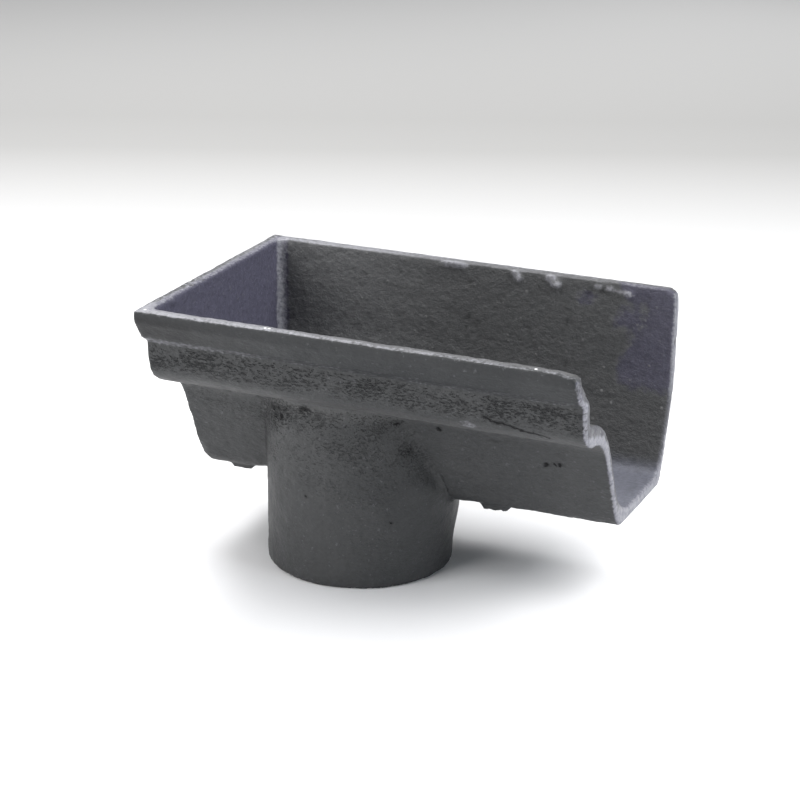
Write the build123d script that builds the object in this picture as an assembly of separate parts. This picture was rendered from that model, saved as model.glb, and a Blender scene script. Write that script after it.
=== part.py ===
# Ogee gutter stop end with a cast-on round outlet, poured in iron as one piece.
# Frame, in millimetres: the origin is on the outlet's axis at the foot of the spigot, +X runs along
# the gutter to its open end, +Y points to the fascia behind it, +Z is up.
from build123d import *
from math import cos, radians, tan
import os

# Trough
rim_width = 115.0  # front of the lip to the back
trough_depth = 76.0  # rim to underside
length = 172.0  # stop end's outer face to the open end
moulding_wall = 5.8  # front wall down the moulding, measured level
front_wall = 4.3  # sloping lower front, square to its face
soffit_wall = 7.6  # the iron is thickest over the ovolo's underside
floor_wall = 4.8
back_wall = 5.0
end_wall = 5.0  # stop end

# Moulding down the front, from the rim
lip_height = 4.4  # upright band under the rim
splay_run = 4.2  # the splayed band leans in by this much
splay_drop = 6.8
quirk_run = 4.8  # step between the splayed band and the ovolo
quirk_drop = 2.9
ovolo_run = 1.7  # the ovolo leans in by this much
ovolo_drop = 16.9
ovolo_radius = 13.0  # round under the ovolo
soffit_run = 22.0  # underside of the ovolo, back to the sloping wall
soffit_drop = 3.8
cavetto_radius = 17.0  # hollow sweep from the underside into the sloping wall
front_slope = 25.0  # lower front wall, degrees from upright
bottom_radius = 8.0  # front bottom edge, outside
crest_round = 1.4  # softened edges between the moulding's bands

# Inside of the front
sweep_radius = 28.0  # inside of the hollow sweep
inner_corner_radius = 3.4  # hollow corners under the lip and in front of the sweep
inner_bottom_radius = 18.0

# Back
back_upright = 41.0  # the back is upright this far down, then leans in
back_lean = 22.0  # degrees from upright
back_knee_radius = 50.0
back_bottom_radius = 4.5

# Outlet
outlet_bore = 63.5
outlet_wall = 4.0
spigot_drop = 30.0  # below the underside of the trough
spigot_straight = 26.0  # the spigot is straight this far up, for the downpipe's socket
draft = 1.0  # degrees; from there up the outlet's body widens, and so does the bore above the floor
outlet_from_end = 65.5  # stop end's outer face to the outlet's axis
outlet_from_front = 57.5  # front of the lip to the outlet's axis
outlet_rise = 2.0  # the outlet's body runs this far up into the iron over the ovolo's underside
root_radius = 2.4  # where the outlet's body meets the trough

# Corners and edges of the casting
rim_round = 0.9
end_front_corner = 2.6  # top corner of the front wall at the open end
end_back_corner = 4.5  # top corner of the back wall at the open end
inner_end_radius = 3.0  # corners inside the stop end
foot_round = 0.8

# Stubs left where the gates were broken off, under the front edge. Each is its centre's distance
# from the stop end, its length along the gutter and its height below the underside.
gate_stubs = [(15.4, 9.6, 1.6), (121.3, 10.4, 1.1)]
stub_thickness = 3.2  # front to back
stub_setback = 3.0  # behind the line where the sloping wall would meet the underside
stub_root = 2.4  # a stub starts this far above the underside, inside the iron
stub_break = 1.1  # broken slope at each end of a stub

# Worked out from the sizes above. A foot is a band's lower edge, as a drop below the rim.
splay_foot = lip_height + splay_drop
quirk_foot = splay_foot + quirk_drop
ovolo_foot = quirk_foot + ovolo_drop
soffit_foot = ovolo_foot + soffit_drop
ovolo_front = splay_run + quirk_run
ovolo_back = ovolo_front + ovolo_run
outlet_radius = outlet_bore / 2 + outlet_wall
rim_height = spigot_drop + trough_depth
floor_height = spigot_drop + floor_wall
open_above = 10.0  # the cutter for the water way runs this far past the rim and the open end
same_place = 0.01  # points nearer than this count as on one surface


def sloping_wall(drop, inset=0.0):
    """Distance behind the lip of the sloping front wall at a drop below the rim."""
    slope = radians(front_slope)
    return ovolo_back + soffit_run + (drop - soffit_foot) * tan(slope) + inset / cos(slope)


def leaning_back(drop, inset=0.0):
    """Distance behind the lip of the back's leaning lower part at a drop below the rim."""
    lean = radians(back_lean)
    return rim_width - (drop - back_upright) * tan(lean) - inset / cos(lean)


def prism(corners, start, end):
    """A closed outline of (distance behind the lip, drop below the rim, radius), run along X."""
    points = [(behind - outlet_from_front, rim_height - drop) for behind, drop, _ in corners]
    radii = [radius for _, _, radius in corners]
    with BuildPart() as solid:
        with BuildSketch(Plane.YZ.offset(start - outlet_from_end)):
            with BuildLine():
                FilletPolyline(*points, radius=radii, close=True)
            make_face()
        extrude(amount=end - start)
    return solid.part


def outer_form():
    """The moulded section, solid, over the whole length."""
    outline = [
        (0, 0, 0),
        (0, lip_height, crest_round),
        (splay_run, splay_foot, crest_round),
        (ovolo_front, quirk_foot, crest_round),
        (ovolo_back, ovolo_foot, ovolo_radius),
        (sloping_wall(soffit_foot), soffit_foot, cavetto_radius),
        (sloping_wall(trough_depth), trough_depth, bottom_radius),
        (leaning_back(trough_depth), trough_depth, back_bottom_radius),
        (rim_width, back_upright, back_knee_radius),
        (rim_width, 0, 0),
    ]
    return prism(outline, 0, length)


def water_way():
    """The space inside the trough, from the stop end out through the open end."""
    floor = trough_depth - floor_wall
    soffit_top = soffit_foot - soffit_wall
    throat = soffit_top - soffit_drop
    knee = back_upright - back_wall * tan(radians(back_lean / 2))
    outline = [
        (moulding_wall, -open_above, 0),
        (moulding_wall, lip_height, inner_corner_radius),
        (ovolo_front + moulding_wall, quirk_foot, crest_round),
        (ovolo_back + moulding_wall, throat, inner_corner_radius),
        (sloping_wall(soffit_top, front_wall), soffit_top, sweep_radius),
        (sloping_wall(floor, front_wall), floor, inner_bottom_radius),
        (leaning_back(floor, back_wall), floor, back_bottom_radius),
        (rim_width - back_wall, knee, back_knee_radius),
        (rim_width - back_wall, -open_above, 0),
    ]
    space = prism(outline, end_wall, length + open_above)
    inside_end = space.faces().sort_by(Axis.X)[0].edges().sort_by(Axis.Z)[:-1]
    return fillet(inside_end, inner_end_radius)


def drafted(radius, straight, height):
    """Radius of a round on the outlet's axis that is straight up to one height and widens above it."""
    return radius + max(height - straight, 0) * tan(radians(draft))


def upright(radius, straight, top):
    """A solid round on the outlet's axis, from the foot up, straight at first and then widening."""
    standing = (Align.CENTER, Align.CENTER, Align.MIN)
    cone = Cone(radius, drafted(radius, straight, top), top - straight, align=standing)
    return Cylinder(radius, straight, align=standing) + Pos(0, 0, straight) * cone


def on_outlet_body(edge):
    """True for an edge that lies all along the outside of the outlet's body."""
    for place in [edge @ 0, edge @ 0.5, edge @ 1]:
        outside = drafted(outlet_radius, spigot_straight, place.Z)
        if abs(Vector(place.X, place.Y).length - outside) > same_place:
            return False
    return True


def at_height(edge, height):
    """True for an edge whose ends are at this height above the foot."""
    return max(abs((edge @ 0).Z - height), abs((edge @ 1).Z - height)) < same_place


def open_end_tops(solid):
    """The two top edges at the open end, the front wall's first and the back wall's last."""
    level = solid.edges().filter_by(Axis.Y).group_by(Axis.X)[-1].group_by(Axis.Z)[-1]
    return level.sort_by(Axis.Y)


def gate_stub(from_end, run, height):
    """The rough root of a broken gate, under the front edge of the floor."""
    block = Box(run, stub_thickness, height + stub_root, align=(Align.CENTER, Align.MIN, Align.MIN))
    block = chamfer(block.edges().filter_by(Axis.Y).group_by(Axis.Z)[0], stub_break)
    front = sloping_wall(trough_depth) + stub_setback
    return Pos(from_end - outlet_from_end, front - outlet_from_front, spigot_drop - height) * block


def casting():
    """Trough, stop end, outlet and gate stubs in one solid."""
    body_top = rim_height - ovolo_foot + outlet_rise
    solid = outer_form() + upright(outlet_radius, spigot_straight, body_top)
    body = [edge for edge in solid.edges() if on_outlet_body(edge)]
    root = [edge for edge in body if not at_height(edge, 0) and not at_height(edge, spigot_straight)]
    solid = fillet(root, root_radius)
    solid -= water_way()
    solid -= upright(outlet_bore / 2, floor_height, rim_height)

    solid = fillet(open_end_tops(solid)[:1], end_front_corner)
    solid = fillet(open_end_tops(solid)[-1:], end_back_corner)
    solid = fillet(solid.faces().sort_by(Axis.Z)[-1].edges(), rim_round)
    foot = [edge for edge in solid.edges() if on_outlet_body(edge) and at_height(edge, 0)]
    solid = fillet(foot, foot_round)
    for from_end, run, height in gate_stubs:
        solid += gate_stub(from_end, run, height)
    return solid


stopend_outlet = casting()
os.makedirs("parts", exist_ok=True)
export_step(stopend_outlet, "parts/stopend_outlet.step")
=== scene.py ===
"""Ogee gutter stop end with a cast-on round outlet, dressed as a painted sand casting.

The casting is skinned afresh over its plain form, so that drips of paint, sand grain, pits and a cold
crack are in its surface. Places on it are given in millimetres the way a founder would measure them:
from the stop end along the gutter, behind the front of the lip, and down from the rim.
"""

from __future__ import annotations

import logging
import math
from dataclasses import dataclass, field
from enum import Enum

import bpy
import numpy as np
from mathutils import Matrix, Vector, noise

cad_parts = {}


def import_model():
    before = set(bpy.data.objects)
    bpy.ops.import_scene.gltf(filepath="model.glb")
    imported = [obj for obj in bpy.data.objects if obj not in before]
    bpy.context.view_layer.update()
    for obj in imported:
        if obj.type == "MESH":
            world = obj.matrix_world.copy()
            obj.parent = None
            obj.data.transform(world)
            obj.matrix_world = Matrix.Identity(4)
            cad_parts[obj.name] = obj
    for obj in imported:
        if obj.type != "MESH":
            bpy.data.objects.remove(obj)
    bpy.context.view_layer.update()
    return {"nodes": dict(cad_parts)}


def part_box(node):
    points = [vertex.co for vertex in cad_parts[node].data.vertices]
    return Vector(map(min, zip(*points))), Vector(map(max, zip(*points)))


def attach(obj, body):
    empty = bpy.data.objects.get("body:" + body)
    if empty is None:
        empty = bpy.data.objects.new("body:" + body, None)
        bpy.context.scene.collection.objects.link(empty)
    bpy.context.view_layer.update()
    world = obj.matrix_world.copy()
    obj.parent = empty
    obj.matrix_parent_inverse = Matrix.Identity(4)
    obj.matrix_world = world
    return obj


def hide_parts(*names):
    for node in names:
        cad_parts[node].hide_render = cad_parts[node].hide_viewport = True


LOG = logging.getLogger("stopend_outlet")
MM = 0.001

Colour = tuple[float, float, float]
Point = tuple[float, float, float]
Ramp = tuple[float, float]  # the two ends of a range
Socket = bpy.types.NodeSocket


class Zone(Enum):
    """A part of the skin with a sand grain of its own."""

    OUTSIDE = "outside"
    INSIDE = "inside"


class Mark(Enum):
    """A mask over the skin, which the paint reads."""

    INSIDE = "inside"
    WORN = "worn_and_highlight"
    # Painted shade: the pits, darker as they go deeper, and the dim places of dim()
    HOLLOW = "painted_shade"
    # Painted cool light from the open end's side
    MAUVE = "mauve"
    PITTED = "pitted"
    THIN = "thin"
    SMOOTH = "smooth"


def pick(piece: bpy.types.Object) -> None:
    """Selects one piece alone and makes it active."""
    bpy.ops.object.select_all(action="DESELECT")
    piece.select_set(True)
    bpy.context.view_layer.objects.active = piece


def apply_modifier(piece: bpy.types.Object, kind: str, name: str, **settings: object) -> None:
    """Adds a modifier with the given settings and applies it.

    Args:
        piece: The piece to change.
        kind: The modifier's type.
        name: A name for the modifier.
        settings: Values set on the modifier.
    """
    pick(piece)
    modifier = piece.modifiers.new(name, kind)
    for key, value in settings.items():
        setattr(modifier, key, value)
    bpy.ops.object.modifier_apply(modifier=modifier.name)


def step(values: np.ndarray, low: float, high: float) -> np.ndarray:
    """Smooth step of an array from 0 at low to 1 at high.

    Args:
        values: The array.
        low: Where the step starts.
        high: Where the step ends. Below low, the step falls.

    Returns:
        The stepped array.
    """
    t = np.clip((values - low) / (high - low), 0, 1)
    return t * t * (3 - 2 * t)


def wander(points: np.ndarray, size: float, seed: float) -> np.ndarray:
    """Returns a smooth random value, about -1 to 1, at each point, from a field shifted by the seed."""
    shifted = points / size + seed
    return np.array([noise.noise(Vector(place)) for place in shifted])


def share_of(places: np.ndarray, centre: Point, radii: object) -> np.ndarray:
    """Returns each place's distance from a centre, which is 1 on the ellipsoid with these radii."""
    return np.linalg.norm((places - np.array(centre)) / radii, axis=1)


@dataclass(frozen=True)
class Profile:
    """The casting's section and outlet, in millimetres, for finding places on its skin."""

    length: float = 172.0
    depth: float = 76.0
    outlet_from_end: float = 65.5
    outlet_from_front: float = 57.5
    outlet_radius: float = 35.75
    bore_radius: float = 31.75
    end_wall: float = 5.0
    soffit_foot: float = 34.8
    slope_top: float = 32.7
    slope: float = math.tan(math.radians(25.0))
    middle_of_wall: tuple[tuple[float, float], ...] = (
        (2.9, -20),
        (2.9, 4.8),
        (7.6, 10.8),
        (12, 13.8),
        (13.4, 26.6),
        (30, 31.2),
        (36, 36.8),
        (52, 71),
        (56, 73.6),
        (97.5, 73.6),
        (112.5, 41),
        (112.5, -20),
    )

    def on_slope(self, from_end: float, drop: float) -> Point:
        """Returns a place on the sloping front wall."""
        return (from_end, self.slope_top + (drop - self.soffit_foot) * self.slope, drop)

    def on_outlet(self, turn: float, drop: float) -> Point:
        """Returns a place on the outlet's body.

        Args:
            turn: Degrees round from the front, towards the open end.
            drop: Distance below the rim.

        Returns:
            The place.
        """
        angle = math.radians(turn)
        across = self.outlet_radius * math.sin(angle)
        ahead = self.outlet_radius * math.cos(angle)
        return (self.outlet_from_end + across, self.outlet_from_front - ahead, drop)

    def inside(self, places: np.ndarray) -> np.ndarray:
        """Tells which places are on the inside of the trough or of the bore.

        Args:
            places: Rows of from the end, behind the lip and drop.

        Returns:
            True for each place inside.
        """
        behind, drop = places[:, 1], places[:, 2]
        within = np.zeros(len(places), dtype=bool)
        corners = self.middle_of_wall
        for (b0, d0), (b1, d1) in zip(corners, corners[1:] + corners[:1]):
            if d0 == d1:
                continue
            crosses = (drop < d0) != (drop < d1)
            within ^= crosses & (behind < b0 + (drop - d0) * (b1 - b0) / (d1 - d0))
        within &= places[:, 0] > self.end_wall / 2
        return within | (self.from_axis(places) < (self.outlet_radius + self.bore_radius) / 2)

    def from_axis(self, places: np.ndarray) -> np.ndarray:
        """Returns each place's distance from the outlet's axis."""
        return np.hypot(places[:, 0] - self.outlet_from_end, places[:, 1] - self.outlet_from_front)


@dataclass(frozen=True)
class Skin:
    """The casting's skin: each vertex's place on the gutter, in millimetres, and its normal."""

    profile: Profile
    places: np.ndarray
    normals: np.ndarray

    @property
    def from_axis(self) -> np.ndarray:
        """Returns how far each vertex is from the outlet's axis."""
        return self.profile.from_axis(self.places)

    @property
    def inside(self) -> np.ndarray:
        """Tells which vertices are on the inside of the trough or of the bore."""
        return self.profile.inside(self.places)

    @property
    def smooth(self) -> np.ndarray:
        """Returns how smooth each vertex is: the floor by the open end, and less so the stop end."""
        x, _, drop = self.places.T
        floor = step(x, 118, 146) * step(drop, 63, 68.5)
        end_wall = step(x, self.profile.end_wall + 5, self.profile.end_wall + 1)
        return self.inside * np.maximum(floor, 0.7 * end_wall)


@dataclass(frozen=True)
class Spot:
    """A round place on the skin."""

    place: Point
    reach: float


@dataclass(frozen=True)
class Lump:
    """A drip of paint or a burr that stands out of the skin, in millimetres."""

    place: Point
    radii: Point


@dataclass(frozen=True)
class Pit:
    """A pit pressed into the skin, in millimetres. A depth below 0 makes it a raised grain."""

    place: Point
    radii: Point
    depth: float


@dataclass(frozen=True)
class Groove:
    """A crack or scratch through several places, in millimetres."""

    places: tuple[Point, ...]
    half_width: float
    depth: float
    reach: float = 4.0
    spacing: float = 0.5
    longer: float = 1.6

    def pits(self) -> list[Pit]:
        """Returns the groove as a close row of pits."""
        row = []
        for start, end in zip(self.places, self.places[1:]):
            run = Vector(end) - Vector(start)
            count = max(1, round(run.length / self.spacing))
            for index in range(count):
                place = Vector(start) + run * (index / count)
                radii = (self.longer * self.half_width, self.reach, self.half_width)
                row.append(Pit(tuple(place), radii, self.depth))
        return row


@dataclass(frozen=True)
class Scatter:
    """Pits strewn at random over a band of the skin, in millimetres.

    The band lies this far behind the lip at its top and goes back with the slope. Length, height and
    depth of a pit are drawn between two sizes.
    """

    seed: int
    count: int
    from_end: tuple[float, float]
    behind: float
    drop: tuple[float, float]
    long: tuple[float, float]
    tall: tuple[float, float]
    depth: tuple[float, float]
    slope: float = 0.0
    reach: float = 4.0

    def pits(self) -> list[Pit]:
        """Returns the strewn pits, the same ones each time."""
        draw = np.random.RandomState(self.seed)
        strewn = []
        for _ in range(self.count):
            x = draw.uniform(*self.from_end)
            drop = draw.uniform(*self.drop)
            behind = self.behind + (drop - self.drop[0]) * self.slope
            radii = (draw.uniform(*self.long), self.reach, draw.uniform(*self.tall))
            strewn.append(Pit((x, behind, drop), radii, draw.uniform(*self.depth)))
        return strewn


@dataclass(frozen=True)
class SandGrain:
    """One layer of sand texture in the skin, in metres."""

    zone: Zone
    size: float
    height: float
    layers: int = 1

    def press(self, piece: bpy.types.Object) -> None:
        """Presses the texture into a piece.

        Args:
            piece: The piece, with a vertex group for the zone.
        """
        texture = bpy.data.textures.new("sand_grain", "CLOUDS")
        texture.noise_scale = self.size
        texture.noise_depth = self.layers
        settings = {"texture_coords": "LOCAL", "vertex_group": self.zone.value}
        apply_modifier(
            piece, "DISPLACE", "sand", texture=texture, strength=self.height, mid_level=0.5, **settings
        )
        bpy.data.textures.remove(texture)


@dataclass(frozen=True)
class Pattern:
    """A noise fixed to the piece, with its scale per metre, and what a span of it becomes."""

    scale: float
    detail: float = 2.0
    roughness: float = 0.5
    stretch: float = 1.0
    span: Ramp | None = None
    result: Ramp = (0, 1)


class Wiring:
    """Adds and joins the nodes of one material."""

    def __init__(self, name: str) -> None:
        """Starts a material.

        Args:
            name: The material's name.
        """
        self.material = bpy.data.materials.new(name)
        self.material.use_nodes = True
        self.tree = self.material.node_tree
        self.shader = self.tree.nodes["Principled BSDF"]
        self.object_places = self.add("ShaderNodeTexCoord").outputs["Object"]

    def add(self, kind: str, inputs: dict | None = None, **settings: object) -> bpy.types.Node:
        """Adds a node.

        Args:
            kind: The node's type.
            inputs: A value or an output for each named or numbered input.
            settings: Values set on the node itself.

        Returns:
            The node.
        """
        node = self.tree.nodes.new(kind)
        for key, value in settings.items():
            setattr(node, key, value)
        for key, value in (inputs or {}).items():
            if isinstance(value, Socket):
                self.tree.links.new(value, node.inputs[key])
            else:
                node.inputs[key].default_value = value
        return node

    def noise(self, pattern: Pattern) -> Socket:
        """Adds a noise pattern.

        Args:
            pattern: The pattern.

        Returns:
            The pattern's output.
        """
        places = self.object_places
        if pattern.stretch != 1:
            thinned = {"Vector": places, "Scale": (1 / pattern.stretch, 1, 1)}
            places = self.add("ShaderNodeMapping", thinned).outputs[0]
        values = {"Vector": places, "Scale": pattern.scale, "Detail": pattern.detail}
        values["Roughness"] = pattern.roughness
        value = self.add("ShaderNodeTexNoise", values).outputs["Fac"]
        return self.span(value, pattern.span, pattern.result) if pattern.span else value

    def mark(self, mark: Mark) -> Socket:
        """Returns a mask that the mesh carries."""
        return self.add("ShaderNodeAttribute", attribute_name=mark.value).outputs["Fac"]

    def span(self, value: Socket, span: Ramp, result: Ramp = (0, 1)) -> Socket:
        """Returns a value mapped from a span to a result, held at both ends."""
        values = {0: value, 1: span[0], 2: span[1], 3: result[0], 4: result[1]}
        return self.add("ShaderNodeMapRange", values, clamp=True).outputs[0]

    def calc(self, operation: str, a: object, b: object) -> Socket:
        """Returns the result of one piece of arithmetic on values or outputs."""
        return self.add("ShaderNodeMath", {0: a, 1: b}, operation=operation).outputs[0]

    def vectors(self, operation: str, a: object, b: object, output: str = "Vector") -> Socket:
        """Returns the result of one piece of arithmetic on places: a Vector, or a number as Value."""
        values = {0: a, "Scale" if operation == "SCALE" else 1: b}
        return self.add("ShaderNodeVectorMath", values, operation=operation).outputs[output]

    def blend(self, factor: Socket, under: Colour | Socket, over: Colour) -> Socket:
        """Returns a colour, or a wired colour, with another laid over it by a factor."""
        under = under if isinstance(under, Socket) else (*under, 1)
        values = {0: factor, 6: under, 7: (*over, 1)}
        return self.add("ShaderNodeMix", values, data_type="RGBA").outputs[2]


@dataclass(frozen=True)
class GreyPrimer:
    """Satin grey metal primer over rough iron, rubbed pale on the rim and the open end, with painted
    shade in its pits and dim places, painted light inside the trough and on the soffit, a painted cool
    tint towards the open end and a painted highlight under the splayed band.
    """

    name: str = "grey_primer_on_iron"

    # Bright flecks, dark specks and the cold crack, in the frame's metres
    flecks: tuple[Point, ...] = ()
    dots: tuple[Spot, ...] = ()
    crack: tuple[Point, ...] = ()

    paint: Colour = (0.02, 0.022, 0.024)
    # Thin paint, and painted bounce light from the table on the soffit
    thin_paint_and_bounce_light: Colour = (0.08, 0.081, 0.082)
    # Painted light: a much lighter copy of the primer inside the trough, for the light that falls into
    # it
    inside_painted_light: Colour = (0.15, 0.152, 0.155)
    # Painted shade for the pits, the crack, the specks and the dim places, and also the colour of the
    # darker mottle
    shade: Colour = (0.009, 0.009, 0.01)
    # Rubbed paint, and the painted highlight under the splayed band
    worn_and_highlight: Colour = (0.26, 0.26, 0.285)
    # Painted light: a cool mauve tint for the cool light from the open end's side
    mauve: Colour = (0.088, 0.085, 0.121)
    # Painted light: the floor by the open end, and less the inner end wall, in a bluer colour for the
    # light from above and from the open end
    floor: Colour = (0.14, 0.144, 0.172)
    grain: Colour = (0.22, 0.22, 0.22)
    fleck: Colour = (0.8, 0.8, 0.8)

    # Uneven paint, the ragged edges of the painted cool tint and of the rubbed paint and painted
    # highlight, and how dark the painted shade goes
    patches: Pattern = Pattern(38, 3, 0.55, span=(0.42, 0.62), result=(0, 0.12))
    mottle: Pattern = Pattern(620, 5, 0.65, span=(0.36, 0.58), result=(0.24, 0))
    mauve_edge: Pattern = Pattern(260, 3, 0.6, span=(0.3, 0.7), result=(-0.3, 0.3))
    mauve_cut: Ramp = (0.3, 0.7)
    worn_edge: Pattern = Pattern(700, 3, 0.65, span=(0.3, 0.7), result=(-0.34, 0.34))
    worn_cut: Ramp = (0.22, 0.85)
    gloss: Pattern = Pattern(140, 4, 0.6, span=(0.3, 0.7), result=(0.46, 0.58))
    smoother: float = 0.08
    sheen: Ramp = (0.4, 0.1)
    darkest: float = 0.9
    fleck_edge: Ramp = (0.7 * MM, 0.4 * MM)

    # Pale grains of sand inside
    cells: float = 300.0
    grain_edge: Ramp = (0.26, 0.08)
    chosen_cells: Pattern = Pattern(190, 2, span=(0.52, 0.62), result=(0, 0.55))

    # Fine pits
    streak: Pattern = Pattern(1300, 3, 0.7, 2.2)
    density: Pattern = Pattern(110, 2, 0.5, 1.6, span=(0.35, 0.65), result=(-0.06, 0.06))
    denser: float = 0.08
    streak_cut: Ramp = (0.43, 0.27)
    streak_depth: Ramp = (0, 0.75)

    # Ragged edges of the crack and the specks, placed as seen from the front
    shake_scale: float = 430.0
    shake_detail: float = 4.0
    shake: float = 3.0 * MM
    crack_edge: Ramp = (0.65 * MM, 0.15 * MM)
    dot_core: float = 0.5
    as_seen: Point = (1, 0.1, 1)

    # Heights in the finest relief, in millimetres
    peel: Pattern = Pattern(680, 3, 0.65, 1.5)
    peel_height: float = 0.4
    sand: Pattern = Pattern(540, 4, 0.7)
    sand_height: float = 0.55
    grain_height: float = 0.5
    opening_depth: float = 0.42

    def build(self) -> bpy.types.Material:
        """Returns the finished material."""
        wiring = Wiring(self.name)
        smooth = wiring.mark(Mark.SMOOTH)
        rough = wiring.span(wiring.calc("SUBTRACT", wiring.mark(Mark.INSIDE), smooth), (0, 1))
        specks = self.specks(wiring, rough)
        openings = wiring.calc("MAXIMUM", self.streaks(wiring), self.cracked(wiring))
        height = self.relief(wiring, rough, specks, openings)
        bump = wiring.add("ShaderNodeBump", {"Height": height, "Distance": MM, "Strength": 1})
        less = wiring.calc("MULTIPLY", smooth, self.smoother)
        inputs = {
            "Base Color": self.colour(wiring, specks, openings),
            "Specular IOR Level": wiring.span(openings, (0, 1), self.sheen),
            "Roughness": wiring.calc("SUBTRACT", wiring.noise(self.gloss), less),
            "Normal": bump.outputs["Normal"],
        }
        for name, value in inputs.items():
            wiring.tree.links.new(value, wiring.shader.inputs[name])
        return wiring.material

    def colour(self, wiring: Wiring, specks: Socket, openings: Socket) -> Socket:
        """Wires the paint's colour.

        Args:
            wiring: The material's wiring.
            specks: The pale grains of sand.
            openings: The fine pits, the dark specks and the crack.

        Returns:
            The colour's output.
        """
        mark, calc, span, blend = wiring.mark, wiring.calc, wiring.span, wiring.blend
        # Thin paint, and painted bounce light on the soffit
        thin = calc("ADD", wiring.noise(self.patches), mark(Mark.THIN))
        colour = blend(thin, self.paint, self.thin_paint_and_bounce_light)
        # Painted light inside the trough
        colour = blend(mark(Mark.INSIDE), colour, self.inside_painted_light)
        # Painted light on the floor by the open end and on the inner end wall
        colour = blend(mark(Mark.SMOOTH), colour, self.floor)
        # Painted cool light on the inner end wall, the cut face and the back wall by the open end
        mauve = calc("ADD", mark(Mark.MAUVE), wiring.noise(self.mauve_edge))
        colour = blend(span(mauve, self.mauve_cut), colour, self.mauve)
        colour = blend(wiring.noise(self.mottle), colour, self.shade)
        # Rubbed rim and open end, pale places, and the painted highlight under the splayed band
        worn_and_highlight = calc("ADD", mark(Mark.WORN), wiring.noise(self.worn_edge))
        colour = blend(span(worn_and_highlight, self.worn_cut), colour, self.worn_and_highlight)
        # Painted shade: the dim places, the fine pits, the crack and the dark specks are blended towards
        # the shade colour
        dark = calc("MAXIMUM", mark(Mark.HOLLOW), openings)
        colour = blend(calc("MULTIPLY", dark, self.darkest), colour, self.shade)
        colour = blend(specks, colour, self.grain)
        for place in self.flecks:
            away = wiring.vectors("DISTANCE", wiring.object_places, place, "Value")
            colour = blend(span(away, self.fleck_edge), colour, self.fleck)
        return colour

    def specks(self, wiring: Wiring, rough: Socket) -> Socket:
        """Wires the pale grains of sand under the paint inside, 1 on a grain."""
        values = {"Vector": wiring.object_places, "Scale": self.cells}
        cells = wiring.add("ShaderNodeTexVoronoi", values)
        near = wiring.span(cells.outputs["Distance"], self.grain_edge)
        near = wiring.calc("MULTIPLY", near, wiring.noise(self.chosen_cells))
        return wiring.calc("MULTIPLY", near, rough)

    def streaks(self, wiring: Wiring) -> Socket:
        """Wires the fine pits that run along the ovolo, 1 in a pit and 0 on the skin."""
        more = wiring.calc("MULTIPLY", wiring.mark(Mark.PITTED), self.denser)
        density = wiring.calc("SUBTRACT", wiring.noise(self.density), more)
        fine = wiring.calc("ADD", wiring.noise(self.streak), density)
        pits = wiring.span(fine, self.streak_cut, self.streak_depth)
        return wiring.calc("MULTIPLY", pits, wiring.mark(Mark.PITTED))

    def cracked(self, wiring: Wiring) -> Socket:
        """Wires the crack along the ovolo's foot and the dark specks, 1 in them and 0 beside them."""
        seen = self.ragged_places(wiring)
        flat = Matrix.Diagonal(self.as_seen)
        dark = None
        for start, end in zip(self.crack, self.crack[1:]):
            start, run = flat @ Vector(start), flat @ (Vector(end) - Vector(start))
            ahead = wiring.vectors("SUBTRACT", seen, tuple(start))
            along = wiring.vectors("DOT_PRODUCT", ahead, tuple(run / run.length_squared), "Value")
            foot = wiring.vectors("SCALE", tuple(run), wiring.span(along, (0, 1)))
            near = wiring.span(wiring.vectors("DISTANCE", ahead, foot, "Value"), self.crack_edge)
            dark = near if dark is None else wiring.calc("MAXIMUM", dark, near)
        for dot in self.dots:
            away = wiring.vectors("DISTANCE", seen, tuple(flat @ Vector(dot.place)), "Value")
            near = wiring.span(away, (dot.reach, self.dot_core * dot.reach))
            dark = wiring.calc("MAXIMUM", dark, near)
        return dark

    def ragged_places(self, wiring: Wiring) -> Socket:
        """Wires the places on the piece as seen from the front, shaken so that edges come out ragged."""
        places = wiring.object_places
        values = {"Vector": places, "Scale": self.shake_scale, "Detail": self.shake_detail}
        shake = wiring.add("ShaderNodeTexNoise", values).outputs["Color"]
        shake = wiring.vectors("SUBTRACT", shake, (0.5, 0.5, 0.5))
        shaken = wiring.vectors("ADD", places, wiring.vectors("SCALE", shake, self.shake))
        return wiring.vectors("MULTIPLY", shaken, self.as_seen)

    def relief(self, wiring: Wiring, rough: Socket, specks: Socket, openings: Socket) -> Socket:
        """Wires the height of the finest sand grain, in millimetres.

        Args:
            wiring: The material's wiring.
            rough: The mask of the rough places inside.
            specks: The pale grains of sand.
            openings: The fine pits, the dark specks and the crack.

        Returns:
            The height's output.
        """
        calc = wiring.calc
        peel = calc("MULTIPLY", wiring.noise(self.peel), self.peel_height)
        sand = calc("MULTIPLY", wiring.noise(self.sand), self.sand_height)
        sand = calc("MULTIPLY", sand, rough)
        grains = calc("MULTIPLY", specks, self.grain_height)
        depth = calc("SUBTRACT", grains, calc("MULTIPLY", openings, self.opening_depth))
        return calc("ADD", calc("ADD", peel, sand), depth)


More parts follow.
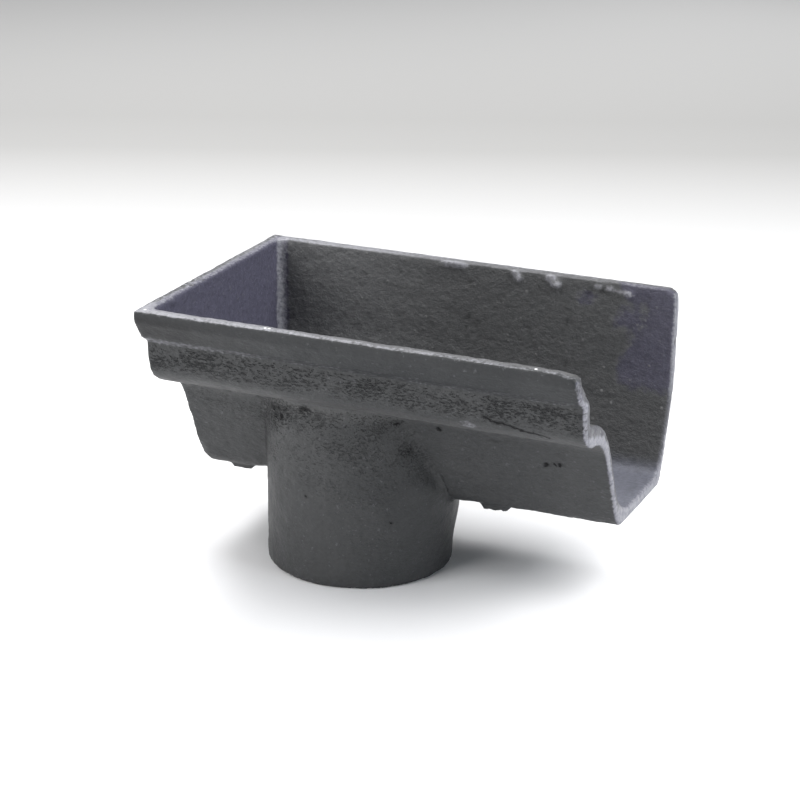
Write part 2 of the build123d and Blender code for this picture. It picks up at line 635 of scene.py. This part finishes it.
@dataclass(frozen=True)
class OutOfTrue:
    """How the mould and rough handling left the casting out of true, in millimetres."""

    sag: float = 1.0
    rise: float = 0.9
    knocked_back: float = 0.6
    knocked_up: float = 1.5
    uneven_walls: float = 0.35
    lower_rim: float = 0.12
    droop: float = 0.9
    swelling: float = 3.2
    least_ragged: float = 0.25
    shorter_end: float = 0.3
    broken_stub: float = 78.3

    def moved(self, skin: Skin) -> np.ndarray:
        """Takes the casting out of true.

        Args:
            skin: The casting's skin.

        Returns:
            Each vertex's new place.
        """
        x, behind, drop = skin.places.T
        profile, moved = skin.profile, skin.places.copy()
        clear_of_outlet = step(skin.from_axis, 37, 46)
        underside = step(drop, 52, 74) * clear_of_outlet * (drop < profile.depth + 4)
        moved[:, 2] += underside * (self.sag - (self.sag + self.rise) * x / profile.length)
        knocked = step(x, 3.6, 0.4) * step(np.hypot(behind - 53, drop - 75), 15, 2)
        moved[:, 1] += self.knocked_back * knocked
        moved[:, 2] -= self.knocked_up * knocked
        slow = wander(skin.places, 38, 3.7) * self.uneven_walls
        moved += skin.normals * (slow * step(drop, 2, 8) * clear_of_outlet)[:, None]
        moved[:, 2] += self.lowered_rim(skin)
        moved[:, 0] += self.swollen_outlet(skin)
        moved[:, 0] -= self.cut_end(skin)
        stub = (x > 112) & (x < 131) & (behind < 62) & (drop > 76.6) & (clear_of_outlet > 0.5)
        moved[:, 2] = np.where(stub, np.minimum(moved[:, 2], self.broken_stub), moved[:, 2])
        return moved

    def lowered_rim(self, skin: Skin) -> np.ndarray:
        """Returns how far the ragged top of the rim and the drooping lip go down."""
        x, behind, drop = skin.places.T
        rim = step(drop, 1.6, 0.4) * step(skin.normals[:, 2], -0.5, -0.9)
        ragged = 0.22 * wander(skin.places, 7, 11.2) + 0.2 * wander(skin.places, 2.6, 4.4)
        lip = step(x, 158, skin.profile.length) ** 2 * step(drop, 4, 0.5) * (behind < 9)
        return rim * (self.lower_rim + ragged) + self.droop * lip

    def swollen_outlet(self, skin: Skin) -> np.ndarray:
        """Returns how far the outlet's root goes towards the open end."""
        x, _, drop = skin.places.T
        body = step(skin.from_axis, 33.4, 35.2) * step(skin.from_axis, 40, 37.5)
        side = np.clip((x - skin.profile.outlet_from_end) / skin.profile.outlet_radius, 0, 1) ** 2
        return self.swelling * body * side * step(drop, 103, 78) * step(drop, 56, 70)

    def cut_end(self, skin: Skin) -> np.ndarray:
        """Returns how far the open end's face is cut back, more raggedly at the front."""
        x, behind, drop = skin.places.T
        length = skin.profile.length
        face = step(x, length - 1.2, length - 0.4) * step(skin.normals[:, 0], 0.5, 0.9)
        front = step(drop, 50, 20) * step(behind, 70, 50)
        ragged = self.least_ragged + (1 - self.least_ragged) * front
        return face * ragged * (self.shorter_end + 0.5 * wander(skin.places, 4.5, 5.1))


@dataclass(frozen=True)
class Blemishes:
    """Every pit, groove and raised grain in the skin, in millimetres."""

    profile: Profile
    crack: tuple[Point, ...]
    lone_pits: tuple[Pit, ...] = (
        Pit((39.8, 10, 21.3), (2.4, 4, 1), 0.6),
        Pit((42.2, 10, 23.8), (2, 4, 0.9), 0.6),
        Pit((22.1, 10, 16.9), (1.8, 4, 1), 0.4),
        Pit((17.9, 10, 20.2), (1.6, 4, 0.9), 0.35),
        Pit((35.3, 10, 18.1), (2.6, 4, 1.2), 0.45),
        Pit((72.9, 10, 16.9), (2.5, 4, 0.8), 0.6),
        Pit((77.6, 10, 21.7), (1.7, 4, 1.1), 0.6),
        Pit((86.7, 10, 19), (2.2, 4, 1.2), 0.45),
        Pit((92.1, 10, 17), (1.8, 4, 0.8), 0.45),
        Pit((94.5, 10, 19.2), (2.3, 4, 0.8), 0.6),
        Pit((101.5, 10, 18.8), (2, 4, 0.8), 0.5),
        Pit((106.1, 10, 19.7), (1.8, 4, 0.9), 0.5),
        Pit((114.9, 10, 18.1), (2.6, 4, 0.8), 0.6),
        Pit((124.8, 10, 18.2), (2, 4, 0.9), 0.45),
        Pit((128.3, 10, 19.8), (2, 4, 0.9), 0.45),
        Pit((44.7, 10, 17.2), (2.2, 4, 0.8), 0.4),
        Pit((151.8, 11, 30), (2.6, 4, 0.8), 0.7),
        Pit((127.8, 37, 42.6), (3, 4, 0.9), 0.45),
        Pit((42.6, 30, 40.2), (1.6, 3, 1.4), 0.7),
        Pit((45.6, 28.2, 39), (1.5, 3, 1), 0.7),
        Pit((49.4, 25.6, 38.4), (1.8, 3, 1.1), 0.7),
        Pit((47.4, 26.6, 42.2), (1.3, 3, 1.5), 0.8),
        Pit((44.2, 29, 42.9), (1.3, 3, 1.1), 0.6),
        Pit((43.2, 29.5, 46.3), (1.4, 3, 1.2), 0.6),
        Pit((41.1, 31.4, 43), (1, 3, 1.6), 0.5),
        Pit((52.2, 24.6, 40.2), (1.5, 3, 0.9), 0.5),
        Pit((59.2, 22.4, 36.3), (2.9, 3, 0.9), 0.8),
        Pit((61.5, 22, 39), (2, 3, 0.8), 0.4),
        Pit((56.5, 22.9, 44.7), (1.4, 3, 0.8), 0.4),
        Pit((91.7, 32.3, 39.7), (1.6, 3, 0.8), 0.3),
        Pit((106.8, 35.5, 40.8), (1.2, 3, 1.2), 0.7),
        Pit((95.5, 38.1, 52.7), (1.2, 3, 1), 0.4),
        Pit((93.6, 35.4, 63.2), (1.3, 3, 1), 0.35),
        Pit((59.1, 22.3, 70.8), (1.2, 3, 0.8), 0.4),
        Pit((2, 34, 0), (1.6, 2.4, 1.2), 0.5),
        Pit((3.6, 38.5, 0), (1.6, 1.8, 1.6), 0.6),
        Pit((1.4, 43, 0), (1.4, 2, 1.2), 0.5),
        Pit((4, 46.4, 0), (1.4, 1.6, 1.4), 0.5),
        Pit((172, 112, 53.4), (1.2, 3, 1.3), 0.9),
        Pit((172, 113, 21), (1.2, 2.4, 2), 0.6),
        Pit((172, 2, 8), (1.2, 1.6, 1.2), 0.6),
        Pit((172, 34, 33), (1.2, 2, 1.4), 0.5),
    )
    scratches: tuple[Groove, ...] = (
        Groove(((50.8, 10, 17.7), (46.6, 10, 20.6), (42.6, 10, 24)), 0.5, 0.35),
        Groove(((162, 12, 30.4), (172, 12, 30.6)), 0.5, 0.4),
    )

    # Each row is a seed, a count, from the end, behind, drop, long, tall, depth, slope and reach
    scatters: tuple[Scatter, ...] = (
        Scatter(3, 60, (4, 120), 10, (15, 25), (1, 2.6), (0.5, 0.9), (0.15, 0.4)),
        Scatter(5, 75, (90, 170), 10, (15.5, 28), (0.9, 1.9), (0.6, 1), (0.15, 0.4)),
        Scatter(7, 34, (6, 40), 33, (37, 66), (0.8, 1.8), (0.6, 0.9), (0.1, 0.25), 0.466),
        Scatter(9, 40, (104, 170), 33, (37, 66), (0.8, 1.8), (0.6, 0.9), (0.1, 0.22), 0.466),
        Scatter(11, 60, (38, 94), 26, (36, 70), (0.8, 1.6), (0.6, 1), (0.1, 0.28), 0, 7),
        Scatter(13, 30, (40, 92), 26, (70, 104), (0.8, 1.4), (0.6, 1), (0.08, 0.18), 0, 7),
        Scatter(15, 90, (8, 170), 110, (3, 40), (0.7, 1.3), (0.7, 1.2), (-0.5, -0.2), 0, 1.5),
        Scatter(17, 26, (8, 170), 110, (3, 40), (0.8, 1.8), (0.8, 1.6), (0.1, 0.25), 0, 1.5),
        Scatter(19, 90, (2, 170), 115, (2, 40), (0.8, 1.8), (0.8, 1.6), (0.1, 0.4), 0, 2),
        Scatter(21, 40, (110, 170), 80, (70, 78), (0.8, 2), (0.8, 2), (0.1, 0.35), 0, 9),
    )
    raised: tuple[Point, ...] = (
        (118.8, 110, 23.4),
        (114.8, 110, 12.8),
        (142.3, 110, 21.2),
        (148.2, 108.6, 43.7),
        (148.6, 110, 15.6),
        (73.5, 110, 25.6),
        (90.7, 110, 31.1),
        (137.1, 110, 32.6),
        (167.1, 110, 26.2),
        (43.9, 29, 48.8),
    )
    raised_radii: Point = (1.1, 2.0, 1.0)
    raised_height: float = 0.6

    def on_walls(self) -> list[Pit]:
        """Returns the pits that are placed on the sloping front wall and on the outlet."""
        slope, outlet = self.profile.on_slope, self.profile.on_outlet
        return [
            Pit(slope(147.4, 49.6), (1.5, 3, 1.3), 0.7),
            Pit(slope(150.4, 48.8), (1.2, 3, 1), 0.5),
            Pit(slope(153.2, 48.6), (1.3, 3, 1), 0.5),
            Pit(slope(152.6, 44), (1.4, 3, 1.2), 0.4),
            Pit(outlet(44, 79.3), (1, 3, 1.2), 0.4),
            Pit(outlet(-24, 89.1), (0.9, 3, 0.9), 0.35),
        ]

    def all(self) -> list[Pit]:
        """Returns every blemish as pits."""
        pits = [*self.lone_pits, *self.on_walls()]
        wide, narrow = Groove(self.crack[:3], 0.6, 0.6), Groove(self.crack[2:], 0.5, 0.3)
        for group in (wide, narrow, *self.scratches, *self.scatters):
            pits += group.pits()
        pits += [Pit(place, self.raised_radii, -self.raised_height) for place in self.raised]
        return pits


@dataclass(frozen=True)
class PaintMap:
    """Where the paint is rubbed, pitted or thin, and where painted shade, painted bounce light, a
    painted highlight and a painted cool tint lie, in millimetres.
    """

    corner: tuple[float, float] = (6.4, 108.6)
    scuff: Point = (127.6, 13, 28.4)
    mauve_patch: Point = (136, 110, 7.5)
    full_depth: float = 0.6
    thin: float = 0.35
    most_pitted: float = 1.15
    pitted_spots: tuple[Spot, ...] = (
        Spot((46.4, 26.6, 40.8), 9.5),
        Spot((59.1, 21.8, 36.3), 4),
        Spot((91.7, 32.3, 39.7), 3),
        Spot((93.5, 35, 51), 4),
        Spot((106.8, 35.5, 40.8), 3),
        Spot((147.4, 39.6, 49.6), 2.4),
        Spot((152.2, 39.2, 48.8), 2.4),
    )

    def masks(self, skin: Skin, sunk: np.ndarray, drips: tuple[Lump, ...]) -> dict[Mark, np.ndarray]:
        """Works out every mask that the paint reads.

        Args:
            skin: The casting's skin.
            sunk: How far each vertex is pressed in.
            drips: The drips under the back rim.

        Returns:
            Each mask's value at each vertex.
        """
        x, inside, end_wall = skin.places[:, 0], skin.inside, skin.profile.end_wall
        face, pale, mauve = self.open_end(skin), self.pale(skin, drips), self.cool_light_by_open_end(skin)
        # Painted cool light: the inner end wall, the back wall by the open end and the cut face
        all_mauve = inside * (step(x, end_wall + 6, end_wall + 1) + mauve) + 0.8 * face
        return {
            Mark.INSIDE: inside.astype(float),
            # Rubbed and pale places, and the painted highlight under the splayed band
            Mark.WORN: np.maximum(self.rubbed(skin, face), np.maximum(pale, self.quirk_highlight(skin))),
            # Painted shade: deeper pits and the dim places are darker
            Mark.HOLLOW: np.clip(sunk / self.full_depth + self.dim(skin, pale, mauve), 0, 1),
            Mark.MAUVE: np.clip(all_mauve, 0, 1),
            Mark.PITTED: self.pitted(skin) * ~inside,
            Mark.THIN: self.thin_and_bounce_light(skin),
            Mark.SMOOTH: skin.smooth,
        }

    def open_end(self, skin: Skin) -> np.ndarray:
        """Returns the cut face of the open end, fainter at the top of the front."""
        x, behind, drop = skin.places.T
        length = skin.profile.length
        face = step(x, length - 2, length - 0.9) * step(skin.normals[:, 0], 0.3, 0.7)
        return face * (1 - 0.5 * step(drop, 18, 5) * (behind < 20))

    def rubbed(self, skin: Skin, face: np.ndarray) -> np.ndarray:
        """Returns where handling has rubbed the rim and the open end's face, in patches."""
        x, behind, drop = skin.places.T
        facing = skin.normals[:, 2]
        flat = np.where(behind > 100, step(facing, -0.35, -0.75), step(facing, -0.6, -0.92))
        rim = step(drop, 1.5, 0.7) * flat
        end_rim = rim * step(x, 5.4, 3.8) * step(behind, 8, 14)
        rim *= 0.93 - 0.55 * x / skin.profile.length
        patchy = 0.7 + 0.3 * (0.5 + 0.5 * wander(skin.places, 9, 21.3))
        return np.maximum(rim, 0.9 * face) * patchy * (1 - 0.45 * end_rim)

    def pale(self, skin: Skin, drips: tuple[Lump, ...]) -> np.ndarray:
        """Returns the pale strip in the stop end's inner corner, the drips and the scuff."""
        x, behind, _ = skin.places.T
        away = np.hypot(x - self.corner[0], behind - self.corner[1])
        pale = step(away, 3, 1.2) * skin.inside * 0.75
        for drip in drips:
            near = share_of(skin.places, drip.place, np.array(drip.radii) + 0.5)
            pale = np.maximum(pale, 0.7 * step(near, 1.15, 0.9))
        scuff = share_of(skin.places, self.scuff, (1.6, 2, 1))
        return np.maximum(pale, 0.42 * step(scuff, 3.2, 1))

    def quirk_highlight(self, skin: Skin) -> np.ndarray:
        """Returns a painted highlight: the pale line under the splayed band, where the quirk's edge
        catches the light.
        """
        x, behind, drop = skin.places.T
        quirk_highlight = step(np.abs(drop - 12.9), 2.2, 0.8) * step(behind, 10.5, 9.5)
        return quirk_highlight * (0.2 + 0.26 * step(x, 70, 4))

    def pitted(self, skin: Skin) -> np.ndarray:
        """Returns how thick the fine pits are: on the ovolo, the outlet's top, spots and the slope."""
        x, behind, drop = skin.places.T
        ovolo = step(drop, 13.6, 16.5) * step(drop, 28, 23) * step(behind, 15, 13)
        below = step(drop, 33, 37)
        outlet = step(skin.from_axis, 39, 37) * step(drop, 82, 42) * below
        slope = below * step(x, 50, 34) * step(drop, 62, 44)
        spots = np.zeros(len(drop))
        for spot in self.pitted_spots:
            away = share_of(skin.places, spot.place, 1)
            spots = np.maximum(spots, step(away, spot.reach, 0.35 * spot.reach))
        pitted = 0.2 + 0.8 * ovolo + 0.5 * outlet + 0.6 * spots + 0.3 * slope
        return np.clip(pitted, 0, self.most_pitted) * step(drop, 11, 14.5)

    def thin_and_bounce_light(self, skin: Skin) -> np.ndarray:
        """Returns how thin the paint is below the splay and over the back, and the painted bounce light
        on the soffit, which is made lighter still.
        """
        x, behind, drop = skin.places.T
        # Painted bounce light: the soffit is made lighter
        soffit = step(drop, 26, 31.5) * step(drop, 42, 35)
        front = (self.thin - 0.08 * step(x, 40, 4)) * step(drop, 12.5, 15.5)
        return np.where(behind > 75, self.thin, 0.6 * soffit + front)

    def cool_light_by_open_end(self, skin: Skin) -> np.ndarray:
        """Returns a painted cool tint of light on the back wall by the open end."""
        x, behind, drop = skin.places.T
        ragged = x + 11 * wander(skin.places, 11, 8.8)
        mauve = step(ragged, 148, 158) * step(drop, 46, 36) * (behind > 90)
        patch = share_of(skin.places, self.mauve_patch, (1, 4, 0.7))
        return np.maximum(mauve, 0.6 * step(patch, 6, 3))

    def dim(self, skin: Skin, pale: np.ndarray, mauve: np.ndarray) -> np.ndarray:
        """Returns the painted shade, apart from the pits: inside the trough, darker away from the stop
        end and lower down towards the open end, and outside, on the splay towards the stop end and on
        the outlet's left side.

        Args:
            skin: The casting's skin.
            pale: The pale places, which are never darker.
            mauve: The painted cool tint by the open end, which gets less of the painted shade.

        Returns:
            One share for each vertex.
        """
        x, behind, drop = skin.places.T
        inside = skin.inside
        along = 0.14 + 0.46 * step(x, 25, 95) + 0.07 * step(x, 130, 165)
        dim = inside * step(drop, 70, 64) * (x > 9) * along * (1 - 0.6 * mauve)
        low = step(drop, 34, 46) * step(drop, 66, 60)
        dim += 0.14 * inside * low * step(x, 100, 135)
        dim *= 1 - pale
        splay = step(drop, 12, 10) * step(drop, 1.2, 3) * (behind < 6)
        dim += 0.8 * step(x, 60, 0) * splay
        side = step(skin.from_axis, 37.5, 36.5) * (drop > 40) * ~inside
        return dim + 0.9 * step(x, 38, 32) * side


@dataclass
class Casting:
    """The one casting: trough, stop end and outlet."""

    name: str = "painted_casting"
    node: str = "stopend_outlet"
    slot: str = "painted_iron"
    body: str = "root"
    voxel: float = 1.1 * MM
    same_point: float = 0.002 * MM
    profile: Profile = field(default_factory=Profile)
    flecks: tuple[Point, ...] = ((3.2, 3.6, 0.1), (52.8, 2.5, 0.1), (54.2, 2.8, 0.1), (156.1, 2.0, 0.1))
    crack: tuple[Point, ...] = (
        (134.6, 11, 23.4),
        (137.4, 11, 24.9),
        (142.3, 11, 25.6),
        (149.1, 11, 26.9),
        (154, 11, 28),
        (157.5, 11, 28.9),
    )
    dots: tuple[Spot, ...] = (
        Spot((106.8, 35.5, 40.8), 1.4),
        Spot((91.7, 32.3, 39.7), 0.7),
        Spot((59.1, 21.8, 36.3), 0.8),
        Spot((147.4, 39.6, 49.6), 1.1),
        Spot((150.6, 39.4, 48.9), 0.8),
        Spot((152.8, 39.2, 48.6), 0.9),
        Spot((90.3, 31.8, 79.3), 0.65),
        Spot((59.1, 22.3, 70.8), 0.55),
        Spot((45.6, 28.2, 39.4), 0.9),
        Spot((47.2, 26.6, 42), 1.2),
    )
    drips: tuple[Lump, ...] = (
        Lump((106.9, 109.7, 1.4), (1.2, 1.2, 1.4)),
        Lump((108.4, 109.4, 3.2), (1.2, 1.4, 1.3)),
        Lump((121.6, 109.7, 1.4), (1.7, 1.2, 1.4)),
        Lump((123.9, 109.3, 3.7), (1.9, 1.6, 1.3)),
        Lump((81.5, 109.9, 1), (5.5, 1, 1.3)),
        Lump((141, 109.9, 2.3), (1.4, 0.9, 0.7)),
        Lump((145.6, 109.9, 2.9), (1.7, 1, 0.6)),
        Lump((149.4, 109.9, 3.3), (1, 0.8, 0.6)),
        Lump((153, 109.7, 3.8), (1.7, 1.1, 1)),
    )
    burrs: tuple[Lump, ...] = (
        Lump((5.6, 20.6, 1.8), (0.8, 1, 0.8)),
        Lump((15.6, 57.4, 76.4), (4.2, 1.3, 1.8)),
        Lump((118, 57.2, 75.8), (2.4, 1.8, 3.6)),
        Lump((121.6, 57.2, 75.8), (2.6, 1.8, 3.6)),
        Lump((125.2, 57.2, 75.8), (2.6, 1.8, 3.2)),
        Lump((86, 56.8, 76), (0.9, 0.9, 0.9)),
        Lump((151.5, 56.6, 76.1), (1.6, 1, 0.7)),
    )
    grains: tuple[SandGrain, ...] = (
        SandGrain(Zone.OUTSIDE, 9.0 * MM, 0.45 * MM),
        SandGrain(Zone.OUTSIDE, 2.6 * MM, 0.42 * MM, 2),
        SandGrain(Zone.INSIDE, 7.0 * MM, 0.5 * MM),
        SandGrain(Zone.INSIDE, 2.6 * MM, 0.6 * MM, 2),
    )

    # The sand grain fades by the open end's face and the rim, and in the smooth places
    least_grain: float = 0.2
    smoothed: float = 0.8

    def build(self, nodes: dict[str, bpy.types.Object]) -> bpy.types.Object:
        """Makes the dressed casting in place of the plain one.

        Args:
            nodes: The frame's own objects by name.

        Returns:
            The finished piece.
        """
        low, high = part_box(self.node)
        self.low = np.array(low)
        self.high = np.array(high)
        piece = self.plain_copy(nodes[self.node])
        self.add_lumps(piece)
        apply_modifier(piece, "REMESH", "skin", mode="VOXEL", voxel_size=self.voxel)
        self.move_to(piece.data, OutOfTrue().moved(self.skin(piece.data)))
        self.mark_zones(piece)
        for grain in self.grains:
            grain.press(piece)
        piece.vertex_groups.clear()
        sunk = self.press_pits(piece.data)
        self.hold_in_box(piece.data)
        self.mark_paint(piece.data, sunk)
        piece.data.materials.clear()
        piece.data.materials.append(self.painted().build())
        piece.data.shade_smooth()
        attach(piece, self.body)
        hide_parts(self.node)
        return piece

    def plain_copy(self, source: bpy.types.Object) -> bpy.types.Object:
        """Copies the plain casting and merges its loose triangles.

        Args:
            source: The frame's own object.

        Returns:
            The merged copy.
        """
        piece = bpy.data.objects.new(self.name, source.data.copy())
        bpy.context.scene.collection.objects.link(piece)
        pick(piece)
        bpy.ops.object.mode_set(mode="EDIT")
        bpy.ops.mesh.select_all(action="SELECT")
        bpy.ops.mesh.remove_doubles(threshold=self.same_point)
        bpy.ops.object.mode_set(mode="OBJECT")
        return piece

    def painted(self) -> GreyPrimer:
        """Returns the finish, with its flecks, its dark specks and its crack put in their places."""
        flecks = tuple(tuple(self.in_frame(place)) for place in self.flecks)
        dots = tuple(Spot(tuple(self.in_frame(dot.place)), dot.reach * MM) for dot in self.dots)
        crack = tuple(tuple(self.in_frame(place)) for place in self.crack)
        return GreyPrimer(flecks=flecks, dots=dots, crack=crack)

    def in_frame(self, place: Point) -> Vector:
        """Turns a place on the gutter, in millimetres, into the frame's metres."""
        from_end, behind, drop = (value * MM for value in place)
        return Vector((self.low[0] + from_end, self.low[1] + behind, self.high[2] - drop))

    def skin(self, mesh: bpy.types.Mesh) -> Skin:
        """Returns the skin of a mesh, measured on the gutter."""
        points, normals = (np.empty(len(mesh.vertices) * 3) for _ in range(2))
        mesh.vertices.foreach_get("co", points)
        mesh.vertices.foreach_get("normal", normals)
        origin = np.array((self.low[0], self.low[1], self.high[2]))
        places = (points.reshape(-1, 3) - origin) / MM * (1, 1, -1)
        return Skin(self.profile, places, normals.reshape(-1, 3) * (1, 1, -1))

    def move_to(self, mesh: bpy.types.Mesh, places: np.ndarray) -> None:
        """Moves each vertex to its new place.

        Args:
            mesh: The mesh.
            places: Rows of from the end, behind the lip and drop, in millimetres.
        """
        origin = np.array((self.low[0], self.low[1], self.high[2]))
        points = places * (1, 1, -1) * MM + origin
        mesh.vertices.foreach_set("co", points.ravel())
        mesh.update()

    def add_lumps(self, piece: bpy.types.Object) -> None:
        """Adds the drips and burrs, still as loose balls inside the iron.

        Args:
            piece: The plain casting.
        """
        balls = []
        for lump in self.drips + self.burrs:
            bpy.ops.object.select_all(action="DESELECT")
            bpy.ops.mesh.primitive_ico_sphere_add(
                subdivisions=3, radius=MM, location=self.in_frame(lump.place), scale=lump.radii
            )
            balls.append(bpy.context.active_object)
        pick(piece)
        for ball in balls:
            ball.select_set(True)
        bpy.ops.object.join()

    def mark_zones(self, piece: bpy.types.Object) -> None:
        """Gives the piece a vertex group for the outside and one for the inside.

        Args:
            piece: The casting.
        """
        skin = self.skin(piece.data)
        within = skin.inside
        x, _, drop = skin.places.T
        free = step(x, self.profile.length - 0.6, self.profile.length - 1.6) * step(drop, 0.5, 2.0)
        free = self.least_grain + (1.0 - self.least_grain) * free
        free *= 1.0 - self.smoothed * skin.smooth
        for zone, member in ((Zone.OUTSIDE, ~within), (Zone.INSIDE, within)):
            group = piece.vertex_groups.new(name=zone.value)
            weights = np.round(member * free, 1)
            for weight in np.unique(weights[weights > 0]):
                chosen = np.flatnonzero(weights == weight)
                group.add(chosen.tolist(), float(weight), "REPLACE")

    def press_pits(self, mesh: bpy.types.Mesh) -> np.ndarray:
        """Presses the pits and cracks into the skin.

        Args:
            mesh: The casting's mesh.

        Returns:
            How far each vertex went in, in millimetres.
        """
        skin = self.skin(mesh)
        sunk = np.zeros(len(skin.places))
        raised = np.zeros(len(skin.places))
        for pit in Blemishes(self.profile, self.crack).all():
            share = np.clip(1.0 - share_of(skin.places, pit.place, pit.radii) ** 2, 0, 1)
            if pit.depth > 0:
                sunk = np.maximum(sunk, pit.depth * share)
            else:
                raised = np.maximum(raised, -pit.depth * share)
        self.move_to(mesh, skin.places - skin.normals * (sunk - raised)[:, None])
        return sunk

    def hold_in_box(self, mesh: bpy.types.Mesh) -> None:
        """Keeps every vertex within the plain casting's box."""
        size = (self.high - self.low) / MM
        self.move_to(mesh, np.clip(self.skin(mesh).places, 0, size))

    def mark_paint(self, mesh: bpy.types.Mesh, sunk: np.ndarray) -> None:
        """Writes the masks that the paint reads.

        Args:
            mesh: The casting's mesh.
            sunk: How far each vertex is pressed in, in millimetres.
        """
        for mark, values in PaintMap().masks(self.skin(mesh), sunk, self.drips).items():
            attribute = mesh.attributes.new(mark.value, "FLOAT", "POINT")
            attribute.data.foreach_set("value", values.astype(np.float32))


@dataclass(frozen=True)
class WhiteTable:
    """White sheet with painted shade: greyer in a broad band behind the casting, where the light falls
    off, and a lighter grey beyond it.
    """

    name: str = "white_table"
    colour: Colour = (0.86, 0.86, 0.87)
    # Painted shade where the light falls off behind the casting, lighter again beyond it
    greyer: Colour = (0.396, 0.393, 0.388)
    beyond: Colour = (0.6, 0.6, 0.6)
    backwards: Point = (-0.3994, 0.9168, 0.0)
    greyer_from: Ramp = (0.13, 0.66)
    beyond_from: Ramp = (0.75, 1.25)
    roughness: float = 0.7

    def build(self) -> bpy.types.Material:
        """Returns the finished material."""
        wiring = Wiring(self.name)
        behind = wiring.vectors("DOT_PRODUCT", wiring.object_places, self.backwards, "Value")
        colour = wiring.blend(wiring.span(behind, self.greyer_from), self.colour, self.greyer)
        colour = wiring.blend(wiring.span(behind, self.beyond_from), colour, self.beyond)
        wiring.tree.links.new(colour, wiring.shader.inputs["Base Color"])
        wiring.shader.inputs["Roughness"].default_value = self.roughness
        return wiring.material


@dataclass(frozen=True)
class SoftLight:
    """One square soft light, aimed at the foot of the casting."""

    name: str
    turn: float
    rise: float
    power: float
    colour: Colour = (1, 1, 1)
    size: float = 0.75
    distance: float = 1.3

    def build(self) -> None:
        """Adds the light, turned from the front towards the open end, both angles in degrees."""
        turn, rise = math.radians(self.turn), math.radians(self.rise)
        level = math.cos(rise)
        place = Vector((math.sin(turn) * level, -math.cos(turn) * level, math.sin(rise)))
        data = bpy.data.lights.new(self.name, "AREA")
        data.shape = "SQUARE"
        data.size = self.size
        data.energy = self.power
        data.color = self.colour
        lamp = bpy.data.objects.new(self.name, data)
        lamp.location = place * self.distance
        lamp.rotation_mode = "QUATERNION"
        lamp.rotation_quaternion = (-place).to_track_quat("-Z", "Y")
        bpy.context.scene.collection.objects.link(lamp)


@dataclass
class Studio:
    """White table, soft lights and the camera."""

    table_half: float = 3.0
    room: float = 0.01
    lens: float = 106.367
    sensor: float = 36.0
    nearest: float = 0.05
    eye: Point = (351.96 * MM, -770.99 * MM, 366.78 * MM)
    right: Point = (0.91518924, 0.40288047, 0.01076984)
    down: Point = (0.14522816, -0.30473956, -0.94129835)
    forward: Point = (-0.37594872, 0.8630302, -0.33740396)
    lights: tuple[SoftLight, ...] = (
        SoftLight("window_high", 90, 50, 18.3),
        SoftLight("window_low", 90, 22, 2.8, (0.72, 0.86, 1)),
        SoftLight("left_behind", 225, 54, 12.2, size=0.5),
        SoftLight("left", 270, 54, 4.9, size=0.5),
        SoftLight("left_front", 325, 50, 4.1),
        SoftLight("left_front_low", 328, 22, 33, size=1.5, distance=2.6),
        SoftLight("behind", 180, 22, 1.7),
    )

    def build(self) -> None:
        """Sets up the whole studio."""
        self.table()
        for light in self.lights:
            light.build()
        self.sky()
        self.camera()

    def table(self) -> None:
        """Adds the table top."""
        bpy.ops.object.select_all(action="DESELECT")
        bpy.ops.mesh.primitive_plane_add(size=2 * self.table_half)
        table = bpy.context.active_object
        table.name = "table_top"
        table.data.materials.append(WhiteTable().build())

    def sky(self) -> None:
        """Adds the room's even white and leaves the picture's tones as they are."""
        world = bpy.data.worlds.new("room")
        world.use_nodes = True
        background = world.node_tree.nodes["Background"]
        background.inputs["Color"].default_value = (1, 1, 1, 1)
        background.inputs["Strength"].default_value = self.room
        bpy.context.scene.world = world
        bpy.context.scene.view_settings.view_transform = "Standard"

    def camera(self) -> None:
        """Adds the camera at the photograph's viewing angle."""
        data = bpy.data.cameras.new("camera")
        data.lens = self.lens
        data.sensor_width = self.sensor
        data.clip_start = self.nearest
        camera = bpy.data.objects.new("camera", data)
        up = [-value for value in self.down]
        back = [-value for value in self.forward]
        turned = Matrix((self.right, up, back)).transposed()
        camera.matrix_world = Matrix.Translation(self.eye) @ turned.to_4x4()
        bpy.context.scene.collection.objects.link(camera)
        bpy.context.scene.camera = camera


def main() -> None:
    """Builds the casting and its studio."""
    logging.basicConfig(level=logging.INFO)
    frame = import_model()
    casting = Casting().build(frame["nodes"])
    LOG.info("%s: %d faces", casting.name, len(casting.data.polygons))
    Studio().build()


if __name__ == "__main__":
    main()
